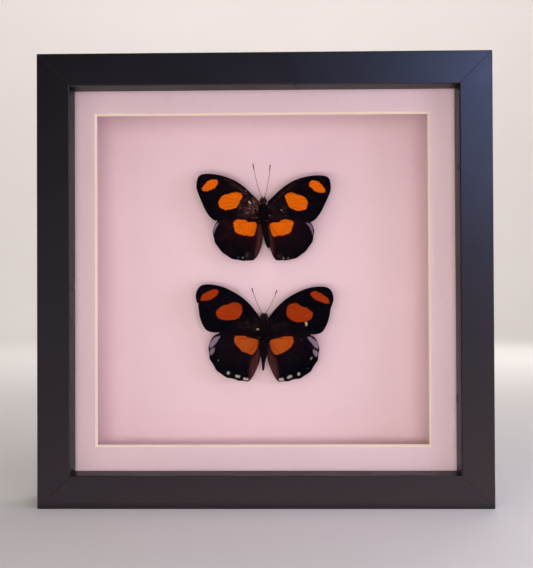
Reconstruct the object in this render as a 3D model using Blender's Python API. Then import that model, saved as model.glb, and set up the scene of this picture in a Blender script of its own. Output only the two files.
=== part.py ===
"""Two set butterflies in a black deep box frame, behind glass and a bevelled mat.

Metres, +Z up. The frame stands on its bottom rail with its front towards -Y. The origin is
on the ground, in the middle of the frame's footprint.
"""

import math

import bmesh
import bpy
from mathutils import Matrix, Vector

MM = 0.001

# Frame. SIDE, DEPTH and FACE drive it.
SIDE = 250 * MM  # outside width and height
DEPTH = 45 * MM  # front to back
FACE = 18.2 * MM  # flat front face of a rail
WALL = 12 * MM  # a rail's thickness behind its lip
LIP = 7 * MM  # thickness of the lip in front of the pane
SIGHT_LEAN = 1.4 * MM  # how far the lip's inner edge leans in behind the face
EDGE_ROUND = 0.7 * MM  # rounding of a rail's long front edges
ROUND_STEPS = 3  # flats in each rounded edge
GAP = 0.3 * MM  # clearance between pieces that touch

# Layers, from the pane back.
PANE_THICK = 2 * MM
MAT_THICK = 1.2 * MM
SPACER_DEEP = 20 * MM
SPACER_THICK = 4 * MM
BACKING_THICK = 3 * MM
PANEL_THICK = 2.5 * MM
SHEET_SIDE = SIDE - 2 * WALL - 3 * GAP  # every sheet drops into the rails with a little play

# Mat window, measured on the mat's face.
WINDOW_WIDE = 186.8 * MM
WINDOW_TALL = 186 * MM
WINDOW_SHIFT = (-1.3 * MM, 0.35 * MM)  # the mat sits slightly left and high

# Steel points, two to a rail.
POINT_WIDE = 10 * MM
POINT_THICK = 0.6 * MM
POINT_OUT = 9 * MM  # how far one reaches over the back panel
POINT_IN = 5 * MM  # how far one goes into its rail
POINT_SPACING = 110 * MM

# Saw-tooth hanger on the back panel.
HANGER_LONG = 46 * MM
HANGER_TALL = 9 * MM
HANGER_THICK = 0.8 * MM
HANGER_RISE = 2.6 * MM  # room behind the raised middle for a nail's head
HANGER_FOOT = 9 * MM
HANGER_HEIGHT = 205 * MM  # above the ground
TOOTH = 2.4 * MM
TOOTH_COUNT = 7
RIVET_RADIUS = 1.2 * MM
RIVET_HEAD_RADIUS = 2.6 * MM
RIVET_HEAD_TALL = 1 * MM
RIVET_DEEP = 1.6 * MM  # how far a rivet goes into the back panel

# Specimens.
WING_THICK = 0.3 * MM
HINDWING_LIFT = 4.15 * MM  # hindwing above the backing
FOREWING_LIFT = 5.05 * MM
BODY_LIFT = 6.6 * MM
DIHEDRAL = math.radians(4)  # the wings rise towards the front as they spread
WING_STEPS = 3  # flats between two outline points
THORAX_RADIUS = 2.5 * MM
ANTENNA_RADIUS = 0.13 * MM
CLUB_RADIUS = 0.36 * MM
CLUB_START = 0.8  # share of the antenna's length
BLOCK_WIDE = 4 * MM
BLOCK_TALL = 7 * MM

# A left wing's outline in millimetres: how far out from the body's middle line, and how far
# up from the middle of the thorax. It runs from the shoulder round the tip to the root.
UPPER_FOREWING = (
    (2.5, 5.3), (6, 9), (10.8, 13.6), (15.5, 16.9), (20.2, 19), (25.2, 20.4), (30.4, 21.1),
    (34.4, 20.9), (36.6, 20), (37.7, 18.1), (38.3, 14.8), (38.1, 12.1), (36.9, 8.7), (35.3, 4.9),
    (33.6, 0.9), (31.4, -2.7), (29.3, -4.9), (27.4, -5.8), (24.5, -5.7), (18.8, -4.8),
    (12, -4.4), (5, -4.8), (2.5, -4.4),
)
UPPER_HINDWING = (
    (2.3, -4), (14, -2), (23.8, -3.3), (27.7, -7.2), (29.2, -10.5), (29.4, -12.8), (29, -15.6),
    (27.9, -18.9), (26.1, -21.5), (23.7, -24.2), (20.2, -26.8), (16.5, -28.2), (12.3, -28.8),
    (8.8, -28.9), (6.8, -28.4), (4.6, -26.8), (2.2, -22.5), (1, -16.2), (1, -11.5), (1.7, -7.5),
)
LOWER_FOREWING = (
    (2.5, 5.3), (5.1, 9.4), (9.2, 14.2), (13.9, 18.1), (18.8, 21), (23.7, 23.2), (28.8, 24.4),
    (33.4, 24.6), (36.4, 23.7), (38.2, 21.4), (39.1, 18), (38.6, 14.9), (37.6, 11.9), (37.2, 8),
    (36.2, 3.9), (34.4, 0), (32.6, -1.9), (30, -2.8), (25.5, -3), (19.5, -2.8), (12, -2.2),
    (5, -2.6), (2.5, -2.6),
)
LOWER_HINDWING = (
    (2.3, -3.4), (14, -1), (23.4, -2.4), (26.4, -3.6), (29.1, -5.1), (31, -7.9), (31.9, -10.6),
    (32.2, -13.6), (31.8, -16.6), (30.8, -19.7), (29.2, -22.5), (27.2, -25.1), (25.2, -27.1),
    (22.6, -28.6), (19.4, -29.7), (16, -30.6), (12.8, -31.3), (10.2, -31.6), (8.8, -31),
    (7.4, -29.6), (5.8, -27), (3.9, -23.6), (1.2, -16), (1, -12), (1.7, -8.4),
)

# A body's radius, as a share of the thorax's, at each share of its length from the head.
BODY_PROFILE = (
    (0, 0.14), (0.025, 0.4), (0.055, 0.56), (0.085, 0.58), (0.11, 0.56), (0.15, 0.84),
    (0.22, 1), (0.32, 1), (0.41, 0.82), (0.46, 0.62), (0.53, 0.7), (0.66, 0.74), (0.79, 0.66),
    (0.9, 0.46), (0.96, 0.28), (1, 0.1),
)

# Each specimen: the middle of its thorax across and up the frame, the ends of its body above
# and below that, how far the tip of the abdomen bends to the right, its antenna tips, and how
# many degrees its right wings sit lower than its left ones.
SPECIMENS = {
    "upper": {
        "middle": (-1 * MM, 165.2 * MM),
        "forewing": UPPER_FOREWING,
        "hindwing": UPPER_HINDWING,
        "body_top": 7 * MM,
        "body_tip": -22 * MM,
        "bend": 3.2 * MM,
        "antenna_tips": {"left": (-5.8 * MM, 26.8 * MM), "right": (4.2 * MM, 26.2 * MM)},
        "right_forewing_drop": 2.3,
        "right_hindwing_drop": 1,
    },
    "lower": {
        "middle": (-0.8 * MM, 98.3 * MM),
        "forewing": LOWER_FOREWING,
        "hindwing": LOWER_HINDWING,
        "body_top": 7.8 * MM,
        "body_tip": -25.2 * MM,
        "bend": -0.6 * MM,
        "antenna_tips": {"left": (-6.9 * MM, 22.4 * MM), "right": (7.5 * MM, 21.2 * MM)},
        "right_forewing_drop": 2.7,
        "right_hindwing_drop": 1.5,
    },
}

# Each layer's front face, in Y.
FRONT = -DEPTH / 2
PANE_FRONT = FRONT + LIP + GAP
MAT_FRONT = PANE_FRONT + PANE_THICK + GAP
SPACER_FRONT = MAT_FRONT + MAT_THICK + GAP
BACKING_FRONT = SPACER_FRONT + SPACER_DEEP + GAP
PANEL_FRONT = BACKING_FRONT + BACKING_THICK + GAP
PANEL_BACK = PANEL_FRONT + PANEL_THICK
POINT_FRONT = PANEL_BACK + GAP

# Finish of each kind of piece: colour, roughness, metallic.
FINISHES = {
    "black_lacquer": ((0.012, 0.011, 0.013), 0.35, 0),
    "clear_glass": ((0.9, 0.95, 0.93), 0.03, 0),
    "pink_mat_paper": ((0.71, 0.5, 0.54), 0.9, 0),
    "pink_liner_paper": ((0.72, 0.52, 0.58), 0.9, 0),
    "hardboard": ((0.2, 0.11, 0.06), 0.8, 0),
    "bright_steel": ((0.6, 0.6, 0.58), 0.35, 1),
    "wing_scales": ((0.03, 0.015, 0.02), 0.7, 0),
    "brown_fur": ((0.09, 0.05, 0.035), 0.95, 0),
    "dark_chitin": ((0.05, 0.03, 0.02), 0.5, 0),
    "white_foam": ((0.8, 0.8, 0.78), 0.95, 0),
}


# ---------------------------------------------------------------------------- shared helpers


def clear_scene():
    for thing in list(bpy.data.objects):
        bpy.data.objects.remove(thing, do_unlink=True)


def new_collection(name):
    made = bpy.data.collections.new(name)
    bpy.context.scene.collection.children.link(made)
    return made


def finish_for(node, kind):
    """A material of the node's own, in one of the shared finishes."""
    colour, roughness, metallic = FINISHES[kind]
    made = bpy.data.materials.new(f"{node}_{kind}")
    made.use_nodes = True
    shader = made.node_tree.nodes["Principled BSDF"]
    shader.inputs["Base Color"].default_value = (*colour, 1)
    shader.inputs["Roughness"].default_value = roughness
    shader.inputs["Metallic"].default_value = metallic
    made.diffuse_color = (*colour, 1)
    return made


def place(name, data, collection, kind=None):
    made = bpy.data.objects.new(name, data)
    collection.objects.link(made)
    if kind:
        made.data.materials.append(finish_for(name, kind))
    return made


def box_mesh(name, low, high):
    """A box between two corners."""
    shape = bmesh.new()
    bmesh.ops.create_cube(shape, size=1)
    low = Vector(low)
    high = Vector(high)
    bmesh.ops.scale(shape, vec=high - low, verts=shape.verts)
    bmesh.ops.translate(shape, vec=(low + high) / 2, verts=shape.verts)
    mesh = bpy.data.meshes.new(name)
    shape.to_mesh(mesh)
    shape.free()
    return mesh


def sheet(name, front, thick, collection, kind):
    """One of the square sheets that lie in the rails."""
    half = SHEET_SIDE / 2
    low = (-half, front, SIDE / 2 - half)
    high = (half, front + thick, SIDE / 2 + half)
    return place(name, box_mesh(name, low, high), collection, kind)


def flat_curve(name, points, thick, smooth=False):
    """A 2D curve round the points, filled, and thick along its own Z."""
    curve = bpy.data.curves.new(name, "CURVE")
    curve.dimensions = "2D"
    curve.fill_mode = "BOTH"
    curve.extrude = thick / 2
    curve.resolution_u = WING_STEPS
    spline = curve.splines.new("BEZIER")
    spline.bezier_points.add(len(points) - 1)
    spline.use_cyclic_u = True
    for knot, (across, up) in zip(spline.bezier_points, points):
        knot.co = (across, up, 0)
        knot.handle_left_type = "AUTO" if smooth else "VECTOR"
        knot.handle_right_type = knot.handle_left_type
    return curve


def curve_to_mesh(name, curve, matrix=None):
    """The curve's solid as a mesh with its caps welded on."""
    helper = bpy.data.objects.new(name, curve)
    bpy.context.scene.collection.objects.link(helper)
    graph = bpy.context.evaluated_depsgraph_get()
    mesh = bpy.data.meshes.new_from_object(helper.evaluated_get(graph))
    bpy.data.objects.remove(helper, do_unlink=True)
    shape = bmesh.new()
    shape.from_mesh(mesh)
    bmesh.ops.remove_doubles(shape, verts=shape.verts, dist=0.00001)
    if matrix:
        bmesh.ops.transform(shape, matrix=matrix, verts=shape.verts)
    bmesh.ops.recalc_face_normals(shape, faces=shape.faces)
    shape.to_mesh(mesh)
    shape.free()
    return mesh


def round_mesh(name, radius, low, high, sides=16):
    """A cylinder along Y, between two distances."""
    shape = bmesh.new()
    bmesh.ops.create_cone(
        shape, cap_ends=True, segments=sides, radius1=radius, radius2=radius, depth=high - low
    )
    bmesh.ops.transform(shape, matrix=Matrix.Rotation(math.pi / 2, 4, "X"), verts=shape.verts)
    bmesh.ops.translate(shape, vec=(0, (low + high) / 2, 0), verts=shape.verts)
    mesh = bpy.data.meshes.new(name)
    shape.to_mesh(mesh)
    shape.free()
    return mesh


def as_cutter(thing):
    thing.hide_render = True
    thing.display_type = "WIRE"
    return thing


def cut(thing, cutter):
    trim = thing.modifiers.new(f"cut_{cutter.name}", "BOOLEAN")
    trim.operation = "DIFFERENCE"
    trim.solver = "EXACT"
    trim.object = cutter


# ------------------------------------------------------------------------------------- rails


def arc(middle, radius, start, end):
    """Points along a quarter round, with angles in degrees."""
    found = []
    for step in range(ROUND_STEPS + 1):
        angle = math.radians(start + (end - start) * step / ROUND_STEPS)
        found.append((middle[0] + radius * math.cos(angle), middle[1] + radius * math.sin(angle)))
    return found


def rail_section():
    """A rail's section: depth from the front to the back, and height from the outer edge."""
    lip_back = FRONT + LIP
    section = arc((FRONT + EDGE_ROUND, EDGE_ROUND), EDGE_ROUND, 270, 180)
    section += arc((FRONT + EDGE_ROUND, FACE - EDGE_ROUND), EDGE_ROUND, 180, 102)
    section += [(lip_back, FACE + SIGHT_LEAN), (lip_back, WALL), (-FRONT, WALL)]
    section += arc((-FRONT - EDGE_ROUND, EDGE_ROUND), EDGE_ROUND, 360, 270)
    return section


def rail_mesh():
    """The bottom rail, with both ends mitred."""
    mesh = curve_to_mesh(
        "rail",
        flat_curve("rail_section", rail_section(), SIDE),
        Matrix(((0, 0, 1, 0), (1, 0, 0, 0), (0, 1, 0, 0), (0, 0, 0, 1))),
    )
    for corner in mesh.vertices:
        end = math.copysign(1, corner.co.x)
        corner.co.x -= end * (corner.co.z + GAP / 2)
    return mesh


def about_middle(turn):
    """A turn about the frame's middle, square to its face."""
    middle = Matrix.Translation((0, 0, SIDE / 2))
    return middle @ Matrix.Rotation(turn, 4, "Y") @ middle.inverted()


def point_places():
    """Where each steel point goes: its name, the turn of its rail, and its place along it."""
    names = {
        "bottom": ("left", "right"),
        "left": ("top", "bottom"),
        "top": ("right", "left"),
        "right": ("bottom", "top"),
    }
    for turn, (rail, ends) in enumerate(names.items()):
        for end, along in zip(ends, (-POINT_SPACING / 2, POINT_SPACING / 2)):
            yield f"point_{rail}_{end}", about_middle(turn * math.pi / 2), along


def make_rails(parts, cutters):
    low = (-POINT_WIDE / 2 - GAP, POINT_FRONT - GAP, WALL - POINT_IN - GAP)
    high = (POINT_WIDE / 2 + GAP, POINT_FRONT + POINT_THICK + GAP, WALL + GAP)
    slots = bmesh.new()
    for _, turn, along in point_places():
        slot = box_mesh("slot", low, high)
        slot.transform(turn @ Matrix.Translation((along, 0, 0)))
        slots.from_mesh(slot)
    mesh = bpy.data.meshes.new("point_slots")
    slots.to_mesh(mesh)
    slots.free()
    cutter = as_cutter(place("point_slots", mesh, cutters))
    shared = rail_mesh()
    for turn, rail in enumerate(("bottom", "left", "top", "right")):
        made = place(f"rail_{rail}", shared.copy(), parts, "black_lacquer")
        made.matrix_world = about_middle(turn * math.pi / 2)
        cut(made, cutter)


def make_points(parts):
    """Flat steel tongues with rounded free ends, pressed into the rails' slots."""
    half = POINT_WIDE / 2
    tip = WALL + POINT_OUT - half
    outline = [(-half, WALL - POINT_IN), (half, WALL - POINT_IN)]
    for step in range(7):
        angle = math.pi * step / 6
        outline.append((half * math.cos(angle), tip + half * math.sin(angle)))
    stand = Matrix.Translation((0, POINT_FRONT + POINT_THICK / 2, 0))
    stand = stand @ Matrix.Rotation(math.pi / 2, 4, "X")
    for name, turn, along in point_places():
        tongue = curve_to_mesh(name, flat_curve(name, outline, POINT_THICK), stand)
        made = place(name, tongue, parts, "bright_steel")
        made.matrix_world = turn @ Matrix.Translation((along, 0, 0))


# ------------------------------------------------------------------------- sheets and strips


def make_mat(parts, cutters):
    """A board with a window whose edge is cut at 45 degrees."""
    mat = sheet("mat_board", MAT_FRONT, MAT_THICK, parts, "pink_mat_paper")
    past = MAT_THICK  # the cutter runs past both faces by this much, on the same slope
    shape = bmesh.new()
    bmesh.ops.create_cone(
        shape,
        cap_ends=True,
        segments=4,
        radius1=(WINDOW_TALL / 2 + past) * math.sqrt(2),
        radius2=(WINDOW_TALL / 2 - MAT_THICK - past) * math.sqrt(2),
        depth=MAT_THICK + 2 * past,
    )
    bmesh.ops.rotate(shape, matrix=Matrix.Rotation(math.pi / 4, 3, "Z"), verts=shape.verts)
    bmesh.ops.rotate(shape, matrix=Matrix.Rotation(-math.pi / 2, 3, "X"), verts=shape.verts)
    for corner in shape.verts:
        corner.co.x += math.copysign((WINDOW_WIDE - WINDOW_TALL) / 2, corner.co.x)
    middle = (WINDOW_SHIFT[0], MAT_FRONT + MAT_THICK / 2, SIDE / 2 + WINDOW_SHIFT[1])
    bmesh.ops.translate(shape, vec=middle, verts=shape.verts)
    mesh = bpy.data.meshes.new("mat_window")
    shape.to_mesh(mesh)
    shape.free()
    cut(mat, as_cutter(place("mat_window", mesh, cutters)))


def make_spacers(parts):
    """Four strips that line the box. The upright pair stands between the other two."""
    half = SHEET_SIDE / 2
    inner = half - SPACER_THICK
    back = SPACER_FRONT + SPACER_DEEP
    spans = {
        "top": ((-half, inner), (half, half)),
        "bottom": ((-half, -half), (half, -inner)),
        "left": ((-half, -inner + GAP), (-inner, inner - GAP)),
        "right": ((inner, -inner + GAP), (half, inner - GAP)),
    }
    for side, ((left, low), (right, high)) in spans.items():
        name = f"spacer_{side}"
        corner = (left, SPACER_FRONT, SIDE / 2 + low)
        opposite = (right, back, SIDE / 2 + high)
        place(name, box_mesh(name, corner, opposite), parts, "pink_liner_paper")


def make_back(parts, cutters):
    """The hardboard back with its raised hanger and two rivets."""
    panel = sheet("back_panel", PANEL_FRONT, PANEL_THICK, parts, "hardboard")
    foot_back = PANEL_BACK + GAP + HANGER_THICK
    half = HANGER_LONG / 2
    step = half - HANGER_FOOT
    section = [
        (-half, 0), (-step, 0), (-step + HANGER_RISE, HANGER_RISE),
        (step - HANGER_RISE, HANGER_RISE), (step, 0), (half, 0),
    ]
    section += [(across, up + HANGER_THICK) for across, up in reversed(section)]
    lie = Matrix.Translation((0, PANEL_BACK + GAP, HANGER_HEIGHT))
    strip = curve_to_mesh("hanger_plate", flat_curve("hanger", section, HANGER_TALL), lie)
    hanger = place("hanger_plate", strip, parts, "bright_steel")

    teeth = bmesh.new()
    for tooth in range(TOOTH_COUNT):
        across = (tooth - (TOOTH_COUNT - 1) / 2) * TOOTH
        bite = box_mesh("bite", (-TOOTH / 4, 0, -TOOTH / 4), (TOOTH / 4, 6 * MM, TOOTH / 4))
        middle = (across, PANEL_BACK, HANGER_HEIGHT - HANGER_TALL / 2)
        bite.transform(Matrix.Translation(middle) @ Matrix.Rotation(math.pi / 4, 4, "Y"))
        teeth.from_mesh(bite)
    mesh = bpy.data.meshes.new("hanger_teeth")
    teeth.to_mesh(mesh)
    teeth.free()
    cut(hanger, as_cutter(place("hanger_teeth", mesh, cutters)))

    for side, across in (("left", -half + HANGER_FOOT / 2), ("right", half - HANGER_FOOT / 2)):
        spot = (across, 0, HANGER_HEIGHT)
        low = PANEL_BACK - RIVET_DEEP
        shank = round_mesh("shank", RIVET_RADIUS, low, foot_back + GAP)
        hole = round_mesh("hole", RIVET_RADIUS + GAP, low - GAP, foot_back + 2 * GAP)
        hole_object = as_cutter(place(f"rivet_hole_{side}", hole, cutters))
        hole_object.location = spot
        cut(hanger, hole_object)
        cut(panel, hole_object)
        name = f"hanger_rivet_{side}"
        rivet = place(name, shank, parts, "bright_steel")
        rivet.location = spot
        head_low = foot_back + GAP - 0.05 * MM
        head = round_mesh("head", RIVET_HEAD_RADIUS, head_low, head_low + RIVET_HEAD_TALL)
        head_object = as_cutter(place(f"rivet_head_{side}", head, cutters))
        head_object.location = spot
        join = rivet.modifiers.new("head", "BOOLEAN")
        join.operation = "UNION"
        join.solver = "EXACT"
        join.object = head_object


# --------------------------------------------------------------------------------- specimens


def wing(name, specimen, outline, lift, side, drop, parts):
    """One flat wing, spread from the body and rising a little towards the front."""
    mirror = -1 if side == "left" else 1
    points = [(mirror * out * MM, up * MM) for out, up in outline]
    curve = flat_curve(name, points, WING_THICK, smooth=True)
    knots = curve.splines[0].bezier_points
    for knot in (knots[0], knots[-1]):
        knot.handle_left_type = "VECTOR"
        knot.handle_right_type = "VECTOR"
    made = place(name, curve, parts, "wing_scales")
    across, up = specimen["middle"]
    place_on_body = Matrix.Translation((across, BACKING_FRONT - lift, up))
    rise = Matrix.Rotation(-mirror * DIHEDRAL, 4, "Z")
    turn = Matrix.Rotation(math.radians(drop), 4, "Y")
    stand = Matrix.Rotation(math.pi / 2, 4, "X")
    made.matrix_world = place_on_body @ rise @ turn @ stand


def tapered_rod(name, points, radii, sides, parts, kind):
    """A round rod through the points, with its own radius at each."""
    curve = bpy.data.curves.new(name, "CURVE")
    curve.dimensions = "3D"
    curve.bevel_depth = MM
    curve.bevel_resolution = sides
    curve.use_fill_caps = True
    spline = curve.splines.new("POLY")
    spline.points.add(len(points) - 1)
    for knot, place_of, radius in zip(spline.points, points, radii):
        knot.co = (*place_of, 1)
        knot.radius = radius / MM
    return place(name, curve, parts, kind)


def body(name, specimen, parts):
    """Head, thorax and abdomen in one, with the abdomen bent to one side."""
    across, up = specimen["middle"]
    top = specimen["body_top"]
    length = top - specimen["body_tip"]
    waist = 0.46
    points = []
    radii = []
    for share, radius in BODY_PROFILE:
        past = max(0, share - waist) / (1 - waist)
        sideways = specimen["bend"] * past
        points.append((across + sideways, BACKING_FRONT - BODY_LIFT, up + top - share * length))
        radii.append(radius * THORAX_RADIUS)
    tapered_rod(name, points, radii, 3, parts, "brown_fur")


def antenna(name, specimen, side, parts):
    """A thin stalk that bows outwards and ends in a club."""
    across, up = specimen["middle"]
    outward = -1 if side == "left" else 1
    tip_across, tip_up = specimen["antenna_tips"][side]
    foot = Vector((across + outward * 0.75 * MM, BACKING_FRONT - BODY_LIFT, 0))
    foot.z = up + specimen["body_top"] + GAP
    tip = Vector((across + tip_across, BACKING_FRONT - BODY_LIFT - 1 * MM, up + tip_up))
    count = 14
    points = []
    radii = []
    for step in range(count + 1):
        share = step / count
        bow = math.sin(math.pi * share) * outward * 0.5 * MM
        points.append(foot.lerp(tip, share) + Vector((bow, 0, 0)))
        swell = math.sin(math.pi * max(0, share - CLUB_START) / (1.08 - CLUB_START))
        radii.append(ANTENNA_RADIUS + (CLUB_RADIUS - ANTENNA_RADIUS) * swell)
    tapered_rod(name, points, radii, 1, parts, "dark_chitin")


def block(name, specimen, parts):
    """The foam block between the thorax and the backing."""
    across, up = specimen["middle"]
    front = BACKING_FRONT - BODY_LIFT + THORAX_RADIUS + GAP
    low = (across - BLOCK_WIDE / 2, front, up - BLOCK_TALL / 2)
    high = (across + BLOCK_WIDE / 2, BACKING_FRONT - GAP, up + BLOCK_TALL / 2)
    place(name, box_mesh(name, low, high), parts, "white_foam")


def make_specimen(label, specimen, parts):
    body(f"{label}_body", specimen, parts)
    block(f"{label}_block", specimen, parts)
    for side in ("left", "right"):
        antenna(f"{label}_antenna_{side}", specimen, side, parts)
        for pair, lift in (("forewing", FOREWING_LIFT), ("hindwing", HINDWING_LIFT)):
            drop = specimen[f"right_{pair}_drop"] if side == "right" else 0
            name = f"{label}_{pair}_{side}"
            wing(name, specimen, specimen[pair], lift, side, drop, parts)


# -------------------------------------------------------------------------------------- build


def build():
    clear_scene()
    parts = new_collection("framed_butterflies")
    cutters = new_collection("cutters")
    make_rails(parts, cutters)
    make_points(parts)
    sheet("glass_pane", PANE_FRONT, PANE_THICK, parts, "clear_glass")
    make_mat(parts, cutters)
    make_spacers(parts)
    sheet("backing_board", BACKING_FRONT, BACKING_THICK, parts, "pink_liner_paper")
    make_back(parts, cutters)
    for label, specimen in SPECIMENS.items():
        make_specimen(label, specimen, parts)


build()
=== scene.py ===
"""Framed butterflies: the finish of a black deep box frame and of the two specimens set in it.

Metres, +Z up, front towards -Y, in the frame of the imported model. Wing outlines and markings
are in millimetres: how far out from the body's middle line, and how far up from the middle of
the thorax.
"""

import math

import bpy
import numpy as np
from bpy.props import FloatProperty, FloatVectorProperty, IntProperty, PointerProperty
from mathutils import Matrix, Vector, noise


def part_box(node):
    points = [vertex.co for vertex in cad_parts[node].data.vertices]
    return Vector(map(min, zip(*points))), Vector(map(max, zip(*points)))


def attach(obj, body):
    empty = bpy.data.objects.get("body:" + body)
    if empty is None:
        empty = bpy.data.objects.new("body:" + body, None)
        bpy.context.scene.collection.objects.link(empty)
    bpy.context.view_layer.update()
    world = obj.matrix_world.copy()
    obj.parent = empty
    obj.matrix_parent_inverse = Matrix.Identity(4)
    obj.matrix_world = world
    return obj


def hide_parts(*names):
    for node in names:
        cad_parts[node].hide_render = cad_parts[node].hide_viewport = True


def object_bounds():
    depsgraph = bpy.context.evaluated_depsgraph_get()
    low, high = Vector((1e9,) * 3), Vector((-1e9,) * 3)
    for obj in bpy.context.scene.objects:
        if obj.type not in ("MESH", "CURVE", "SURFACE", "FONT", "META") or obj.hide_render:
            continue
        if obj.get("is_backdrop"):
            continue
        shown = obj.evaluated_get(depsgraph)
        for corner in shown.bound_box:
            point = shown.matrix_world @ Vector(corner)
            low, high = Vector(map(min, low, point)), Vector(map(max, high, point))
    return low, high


bl_info = {
    "name": "Framed Butterflies",
    "version": (1, 0, 0),
    "blender": (4, 5, 0),
    "location": "View3D > Sidebar > Butterflies",
    "description": "Finishes a deep box frame and models the two set butterflies inside it",
    "category": "Object",
}

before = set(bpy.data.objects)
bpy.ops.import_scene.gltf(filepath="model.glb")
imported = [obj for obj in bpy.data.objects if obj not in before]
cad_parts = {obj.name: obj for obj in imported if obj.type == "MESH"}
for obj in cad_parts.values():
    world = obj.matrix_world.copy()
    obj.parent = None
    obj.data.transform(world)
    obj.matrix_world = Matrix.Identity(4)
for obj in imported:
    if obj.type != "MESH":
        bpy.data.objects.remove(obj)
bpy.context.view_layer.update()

MM = 0.001
LEFT, RIGHT = "left", "right"
OUTWARD = {LEFT: -1, RIGHT: 1}
BODY = "root"

# Sockets of a Mix node that mixes colours.
MIX_FACTOR, MIX_A, MIX_B, MIX_RESULT = 0, 6, 7, 2


def linear(code):
    """An sRGB hex colour as linear red, green and blue."""
    shares = [int(code[start:start + 2], 16) / 255 for start in (1, 3, 5)]
    return tuple(
        share / 12.92 if share <= 0.04045 else ((share + 0.055) / 1.055) ** 2.4
        for share in shares
    )


# ----------------------------------------------------------------------------- the two insects

DIHEDRAL = math.radians(4)  # the wings rise towards the front as they spread
CAD_WING_THICK = 0.3 * MM

# Veins run in a wing's own grid: share of the way round the outline from the shoulder, and
# share of the way out from the root. Each one leaves the cell at the first pair of shares and
# meets the outline at the last share.
FOREWING_CELL = ((0.33, 0.42), (0.565, 0.38))
FOREWING_VEINS = (
    (0.2, 0, 0.24), (0.33, 0.26, 0.3), (0.35, 0.4, 0.35), (0.37, 0.42, 0.395), (0.39, 0.43, 0.44),
    (0.43, 0.43, 0.485), (0.48, 0.41, 0.535), (0.53, 0.4, 0.585), (0.565, 0.34, 0.64),
    (0.58, 0.22, 0.7), (0.72, 0, 0.79),
)
HINDWING_CELL = ((0.36, 0.42), (0.6, 0.42))
HINDWING_VEINS = (
    (0.2, 0, 0.23), (0.34, 0.2, 0.31), (0.4, 0.4, 0.38), (0.46, 0.44, 0.45), (0.53, 0.44, 0.53),
    (0.58, 0.38, 0.61), (0.61, 0.25, 0.68), (0.7, 0, 0.745), (0.85, 0, 0.86),
)


def both(points):
    """The same points for the left and for the right."""
    return {LEFT: points, RIGHT: points}


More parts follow.
